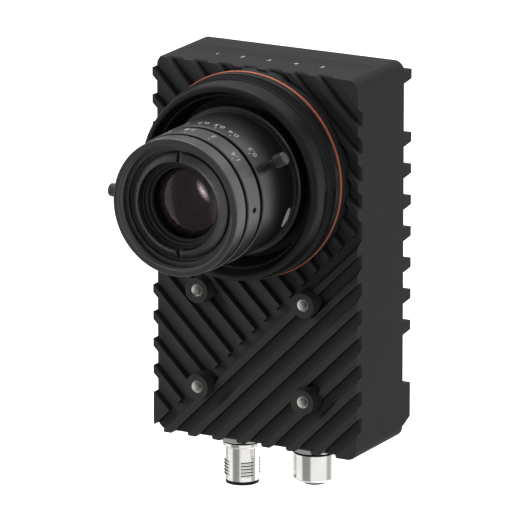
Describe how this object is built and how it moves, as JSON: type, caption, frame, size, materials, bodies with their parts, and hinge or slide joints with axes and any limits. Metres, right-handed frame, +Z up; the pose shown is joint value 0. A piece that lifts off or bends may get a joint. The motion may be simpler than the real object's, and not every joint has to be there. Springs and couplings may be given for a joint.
{
  "type": "machine vision camera",
  "caption": "Smart inspection camera: ribbed die-cast body, manual lens in a sealing collar, finned back and two round ports underneath.",
  "frame": {"origin": "centre of the rectangle of the four front mounting bosses, on the plane of their seating faces", "axes": "+X to the right seen from the front, +Y from the front to the finned back, +Z up; the lens looks along -Y and the ports point along -Z"},
  "size_m": [0.075, 0.0907, 0.1441],
  "materials": {
    "housing_coat": "matt fine-textured powder coat on die-cast aluminium",
    "insert_steel": "bright turned steel thread inserts",
    "cover_gasket": "black foam-rubber cord",
    "seal_orange": "orange silicone cord, satin",
    "stainless": "stainless steel screws, satin",
    "tube_coat": "turned aluminium, black anodised, satin",
    "mount_steel": "turned stainless steel, dark satin",
    "lens_black": "turned aluminium, satin black anodised with engraved marks",
    "baffle_black": "dead-black moulded plastic",
    "coated_glass": "optical glass with a green and violet anti-reflection coating",
    "filter_glass": "thin infrared-cut filter glass",
    "leaf_black": "blackened steel leaves",
    "knob_black": "blackened steel with a knurled head",
    "sensor_package": "sealed sensor package with a cover window",
    "board_green": "glass-fibre board with green solder mask",
    "standoff_brass": "turned brass",
    "chip_black": "moulded chip package",
    "pad_grey": "soft grey thermal pad",
    "plug_ivory": "moulded board-to-board plug body",
    "window_smoked": "smoked clear plastic with printed numerals",
    "lamp_white": "diode lens",
    "port_nickel": "nickel-plated brass, satin",
    "port_plastic": "black moulded contact carrier",
    "port_seal": "black rubber cord",
    "contact_gold": "gold-plated contacts"
  },
  "bodies": {
    "camera": {"front_housing": "housing_coat", "boss_inserts": "insert_steel", "rear_cover": "housing_coat", "cover_gasket": "cover_gasket", "cover_screws": "stainless", "lens_tube": "tube_coat", "cover_seal": "seal_orange", "lens_mount": "mount_steel", "mount_screws": "stainless", "infrared_filter": "filter_glass", "lens_barrel": "lens_black", "focus_retainer": "leaf_black", "image_sensor": "sensor_package", "sensor_board": "board_green", "sensor_standoffs": "standoff_brass", "main_board": "board_green", "main_standoffs": "standoff_brass", "board_screws": "stainless", "processor": "chip_black", "thermal_pad": "pad_grey", "board_link": "plug_ivory", "io_board": "board_green", "io_header": "plug_ivory", "lamp_window": "window_smoked", "status_lamps": "lamp_white", "lamp_board": "board_green", "lamp_link": "plug_ivory", "lamp_board_screws": "stainless", "power_shell": "port_nickel", "power_insert": "port_plastic", "power_pins": "contact_gold", "power_seal": "port_seal", "power_nut": "port_nickel", "network_shell": "port_nickel", "network_insert": "port_plastic", "network_contacts": "contact_gold", "network_seal": "port_seal", "network_nut": "port_nickel"},
    "focus_ring": {"focus_ring": "lens_black"},
    "focus_lock": {"focus_lock_screw": "knob_black"},
    "lens_cell": {"front_cell": "lens_black", "clamp_ring": "lens_black", "front_baffle": "baffle_black", "front_glass": "coated_glass", "iris_diaphragm": "leaf_black", "middle_glass": "coated_glass", "glass_spacer": "baffle_black", "rear_glass": "coated_glass", "iris_retainer": "leaf_black"},
    "iris_ring": {"iris_ring": "lens_black", "iris_set_screw": "knob_black"},
    "iris_lock": {"iris_lock_screw": "knob_black"}
  },
  "joints": [
    {"name": "focus", "type": "hinge", "parent": "camera", "child": "focus_ring", "pos_m": [0, -0.022, 0.0576], "axis": [0, -1, 0], "range_deg": [-60, 60]},
    {"name": "lens_travel", "type": "slide", "parent": "camera", "child": "lens_cell", "axis": [0, -1, 0], "range_m": [-0.0006, 0.0006]},
    {"name": "iris", "type": "hinge", "parent": "lens_cell", "child": "iris_ring", "pos_m": [0, -0.0383, 0.0576], "axis": [0, -1, 0], "range_deg": [-40, 35]},
    {"name": "focus_lock", "type": "hinge", "parent": "focus_ring", "child": "focus_lock", "pos_m": [0.02296, -0.02375, 0.06981], "axis": [0.8829, 0, 0.4695], "range_deg": [0, 360]},
    {"name": "iris_lock", "type": "hinge", "parent": "iris_ring", "child": "iris_lock", "pos_m": [-0.026, -0.0383, 0.0576], "axis": [-1, 0, 0], "range_deg": [0, 360]}
  ],
  "couplings": [
    {"joint": "lens_travel", "follows": "focus", "m_per_rad": 0.00057}
  ]
}
